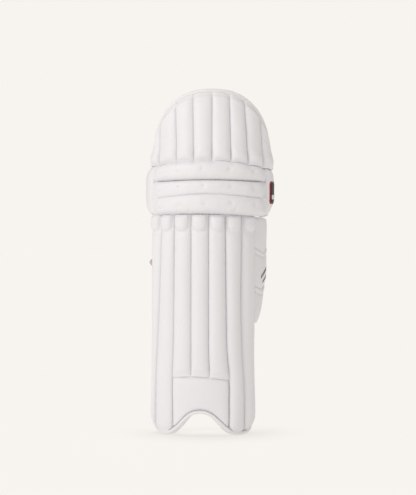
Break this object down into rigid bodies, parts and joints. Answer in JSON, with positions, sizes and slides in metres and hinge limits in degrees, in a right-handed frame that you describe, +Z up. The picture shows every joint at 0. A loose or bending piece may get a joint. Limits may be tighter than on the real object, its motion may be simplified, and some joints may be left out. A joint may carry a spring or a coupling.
{
  "type": "cricket leg pad",
  "caption": "Padded batting leg guard: rolled shin face, knee rolls, domed top hat, side wing and hook-and-loop straps that close behind the leg.",
  "frame": {"origin": "middle of the footprint box on the floor plane that the two feet stand on", "axes": "+Z up the leg, -Y out of the front of the shin face, +X towards the wing side"},
  "size_m": [0.2622, 0.172, 0.6927],
  "materials": {
    "face_leather": "off-white coated synthetic leather, soft sheen",
    "binding_leather": "off-white coated binding, soft sheen",
    "cane_core": "plain split cane and firm foam",
    "lining_cloth": "matt woven lining",
    "bolster_cloth": "matt brushed cloth over foam",
    "strap_webbing": "pale beige webbing",
    "hook_tape": "hook tape",
    "loop_tape": "loop tape",
    "patch": "plain dark patch"
  },
  "bodies": {
    "shin": {"shin_roll_1": "face_leather", "shin_roll_2": "face_leather", "shin_roll_3": "face_leather", "shin_roll_4": "face_leather", "shin_roll_5": "face_leather", "shin_roll_6": "face_leather", "shin_roll_7": "face_leather", "shin_roll_core_1": "cane_core", "shin_roll_core_2": "cane_core", "shin_roll_core_3": "cane_core", "shin_roll_core_4": "cane_core", "shin_roll_core_5": "cane_core", "shin_roll_core_6": "cane_core", "shin_roll_core_7": "cane_core", "instep_panel": "face_leather", "bottom_binding": "binding_leather", "shin_lining": "lining_cloth", "bolster_inner_side": "bolster_cloth", "bolster_centre": "bolster_cloth", "bolster_outer_side": "bolster_cloth", "inner_edge_binding": "binding_leather", "outer_edge_binding": "binding_leather", "knee_strap_loop": "loop_tape", "calf_strap_loop": "loop_tape", "ankle_strap_loop": "loop_tape"},
    "knee": {"knee_roll_lower": "face_leather", "knee_roll_middle": "face_leather", "knee_roll_upper": "face_leather", "knee_roll_core_lower": "cane_core", "knee_roll_core_middle": "cane_core", "knee_roll_core_upper": "cane_core", "knee_side_panel_inner": "face_leather", "knee_side_panel_outer": "face_leather", "knee_lining": "lining_cloth", "knee_cradle_inner": "bolster_cloth", "knee_cradle_outer": "bolster_cloth", "side_patch": "patch"},
    "top_hat": {"top_hat_roll_1": "face_leather", "top_hat_roll_2": "face_leather", "top_hat_roll_3": "face_leather", "top_hat_roll_4": "face_leather", "top_hat_roll_5": "face_leather", "top_hat_roll_6": "face_leather", "top_hat_roll_7": "face_leather", "top_hat_roll_8": "face_leather", "top_hat_piping": "binding_leather", "top_hat_lining": "lining_cloth"},
    "wing": {"wing_panel_upper": "face_leather", "wing_band_upper": "face_leather", "wing_panel_middle": "face_leather", "wing_band_lower": "face_leather", "wing_panel_lower": "face_leather", "wing_lining": "lining_cloth"},
    "knee_strap_body": {"knee_strap": "strap_webbing", "knee_strap_hook": "hook_tape"},
    "calf_strap_body": {"calf_strap": "strap_webbing", "calf_strap_hook": "hook_tape"},
    "ankle_strap_body": {"ankle_strap": "strap_webbing", "ankle_strap_hook": "hook_tape"}
  },
  "joints": [
    {"name": "knee_flex", "type": "hinge", "parent": "shin", "child": "knee", "pos_m": [0, -0.00804, 0.446], "axis": [-1, 0, 0], "range_deg": [0, 15], "stiffness_Nm_per_rad": 4},
    {"name": "top_hat_flex", "type": "hinge", "parent": "knee", "child": "top_hat", "pos_m": [0, -0.00804, 0.5475], "axis": [-1, 0, 0], "range_deg": [0, 9], "stiffness_Nm_per_rad": 1.5},
    {"name": "wing_fold", "type": "hinge", "parent": "shin", "child": "wing", "pos_m": [0.08853, -0.00554, 0.33], "axis": [0, 0, -1], "range_deg": [0, 25], "stiffness_Nm_per_rad": 0.6},
    {"name": "knee_strap_open", "type": "hinge", "parent": "wing", "child": "knee_strap_body", "pos_m": [0.09983, 0.06246, 0.407], "axis": [0, 0, -1], "range_deg": [0, 90]},
    {"name": "calf_strap_open", "type": "hinge", "parent": "wing", "child": "calf_strap_body", "pos_m": [0.09983, 0.06246, 0.346], "axis": [0, 0, -1], "range_deg": [0, 90]},
    {"name": "ankle_strap_open", "type": "hinge", "parent": "shin", "child": "ankle_strap_body", "pos_m": [0.08083, 0.00726, 0.095], "axis": [0, 0, -1], "range_deg": [0, 100]}
  ],
  "couplings": [
    {"joint": "top_hat_flex", "follows": "knee_flex", "ratio": 0.6}
  ]
}
